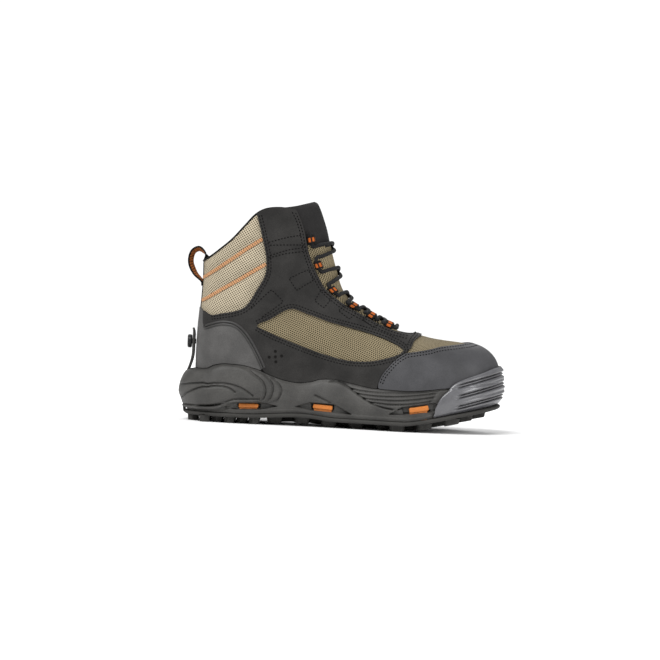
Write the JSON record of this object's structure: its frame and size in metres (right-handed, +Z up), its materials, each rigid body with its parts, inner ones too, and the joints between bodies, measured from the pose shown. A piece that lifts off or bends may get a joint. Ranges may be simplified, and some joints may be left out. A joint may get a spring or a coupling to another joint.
{
  "type": "wading boot",
  "caption": "Right wading boot with a hollow laced upper, rubber toe bumper and a clipped-on lugged rubber sole held by a heel strap.",
  "frame": {"origin": "on the floor under the middle of the heel's contact, on the flat face of a small heel lug", "axes": "+X towards the toe, +Y towards the inner side of the foot, +Z up"},
  "size_m": [0.3244, 0.1171, 0.2216],
  "materials": {
    "mesh_cloth": "olive woven mesh over a thin foam",
    "black_synthetic": "matt black coated synthetic",
    "grey_synthetic": "grained dark grey coated synthetic",
    "midsole_rubber": "matt dark grey moulded foam",
    "bumper_rubber": "slightly glossy grey moulded rubber",
    "sole_rubber": "matt dark grey rubber",
    "orange_plastic": "satin orange moulded plastic",
    "post_plastic": "satin black moulded plastic",
    "tongue_cloth": "matt black padded cloth",
    "webbing": "woven orange and black webbing",
    "lace_cord": "braided black cord",
    "insole_foam": "dark cloth-covered foam"
  },
  "bodies": {
    "root": {"upper": "mesh_cloth", "quarter_overlay": "black_synthetic", "heel_counter": "grey_synthetic", "toe_cap": "grey_synthetic", "midsole": "midsole_rubber", "sole_clip_lateral_heel": "orange_plastic", "sole_clip_medial_heel": "orange_plastic", "sole_clip_lateral_arch": "orange_plastic", "sole_clip_medial_arch": "orange_plastic", "sole_clip_lateral_ball": "orange_plastic", "sole_clip_medial_ball": "orange_plastic", "toe_bumper": "bumper_rubber", "outsole": "sole_rubber", "heel_post": "post_plastic", "insole": "insole_foam", "tongue": "tongue_cloth", "pull_loop": "webbing", "lace_loop_lateral_1": "webbing", "lace_loop_medial_1": "webbing", "lace_loop_lateral_2": "webbing", "lace_loop_medial_2": "webbing", "lace_loop_lateral_3": "webbing", "lace_loop_medial_3": "webbing", "lace_loop_lateral_4": "webbing", "lace_loop_medial_4": "webbing", "lace_loop_lateral_5": "webbing", "lace_loop_medial_5": "webbing", "lace_loop_lateral_6": "webbing", "lace_loop_medial_6": "webbing", "lace_crossings": "lace_cord"}
  },
  "joints": []
}
